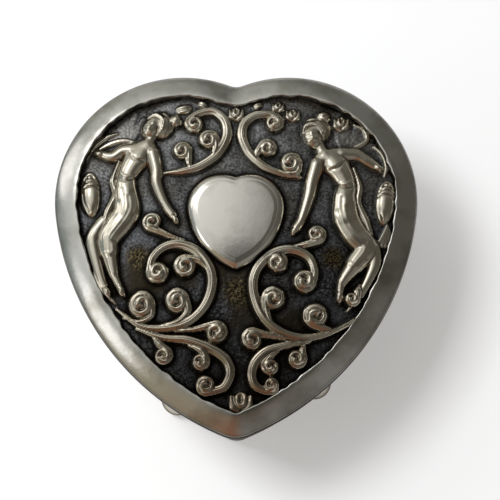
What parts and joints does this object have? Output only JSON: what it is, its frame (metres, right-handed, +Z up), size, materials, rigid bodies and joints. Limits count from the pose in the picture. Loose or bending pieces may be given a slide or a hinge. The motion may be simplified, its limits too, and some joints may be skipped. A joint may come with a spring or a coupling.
{
  "type": "wind-up music box",
  "caption": "Heart-shaped plated music box on bun feet: hinged repousse lid with a heart shield, lined tray, and a pinned-cylinder movement wound by a key underneath.",
  "frame": {"origin": "on the table under the middle of the box", "axes": "+Z up, +Y to the hinge at the heart's cleft, +X to the right seen from the tip"},
  "size_m": [0.1, 0.1008, 0.0577],
  "materials": {
    "silver_plate": "polished silver plate, darkened in the sunk ground",
    "steel": "fine ground steel",
    "brass": "satin brass",
    "velvet": "dark red velvet on card",
    "wood": "plain thin wood",
    "cast_iron": "machined cast block"
  },
  "bodies": {
    "case": {"body_shell": "silver_plate", "base_plate": "silver_plate", "base_screws": "steel", "movement_screws": "steel", "foot_front_left": "silver_plate", "foot_front_right": "silver_plate", "foot_rear_left": "silver_plate", "foot_rear_right": "silver_plate", "tray_support_ring": "wood", "tray": "velvet", "tray_pad": "velvet", "hinge_leaf_body": "silver_plate", "hinge_pin": "silver_plate", "bed_plate": "brass", "barrel_bridge": "brass", "bridge_screws": "steel", "click_screw": "steel", "cylinder_bracket_left": "brass", "cylinder_bracket_right": "brass", "comb": "steel", "comb_base": "cast_iron", "comb_screws": "steel", "governor_frame": "brass"},
    "lid": {"lid_shell": "silver_plate", "lid_board": "wood", "lid_pad": "velvet", "hinge_leaf_lid": "silver_plate"},
    "winder": {"winding_key": "brass", "winding_arbor": "steel", "ratchet_wheel": "steel"},
    "click": {"ratchet_click": "steel"},
    "barrel": {"great_wheel": "brass", "spring_barrel": "brass", "barrel_cap": "brass", "mainspring": "steel"},
    "cylinder": {"cylinder_drum": "brass", "cylinder_arbor": "steel", "cylinder_pinion": "steel", "cylinder_gear": "brass"},
    "governor": {"governor_pinion": "steel", "governor_wheel": "brass", "governor_arbor": "steel"},
    "fan": {"governor_worm": "steel", "air_brake_fan": "steel"},
    "stop": {"stop_rod": "steel"}
  },
  "joints": [
    {"name": "lid_hinge", "type": "hinge", "parent": "case", "child": "lid", "pos_m": [0, 0.04481, 0.0428], "axis": [-1, 0, 0], "range_deg": [0, 90]},
    {"name": "winding", "type": "hinge", "parent": "case", "child": "winder", "pos_m": [-0.017, 0.004, 0.01], "axis": [0, 0, 1], "range_deg": [0, 1440]},
    {"name": "click_pivot", "type": "hinge", "parent": "case", "child": "click", "pos_m": [-0.017, 0.014, 0.0285], "axis": [0, 0, 1], "range_deg": [0, 8]},
    {"name": "cylinder_turn", "type": "hinge", "parent": "case", "child": "cylinder", "pos_m": [0, 0.004, 0.02075], "axis": [1, 0, 0], "continuous": true},
    {"name": "barrel_turn", "type": "hinge", "parent": "case", "child": "barrel", "pos_m": [-0.017, 0.004, 0.02], "axis": [0, 0, 1], "continuous": true},
    {"name": "governor_turn", "type": "hinge", "parent": "case", "child": "governor", "pos_m": [0.024, 0.0121, 0.02075], "axis": [1, 0, 0], "continuous": true},
    {"name": "fan_turn", "type": "hinge", "parent": "case", "child": "fan", "pos_m": [0.02625, 0.0182, 0.02075], "axis": [0, 0, 1], "continuous": true},
    {"name": "stop_lift", "type": "slide", "parent": "case", "child": "stop", "axis": [0, 0, 1], "range_m": [0, 0.003]}
  ],
  "couplings": [
    {"joint": "barrel_turn", "follows": "cylinder_turn", "ratio": 0.3},
    {"joint": "governor_turn", "follows": "cylinder_turn", "ratio": -2},
    {"joint": "fan_turn", "follows": "cylinder_turn", "ratio": 36},
    {"joint": "stop_lift", "follows": "lid_hinge", "m_per_rad": 0.0019097}
  ]
}
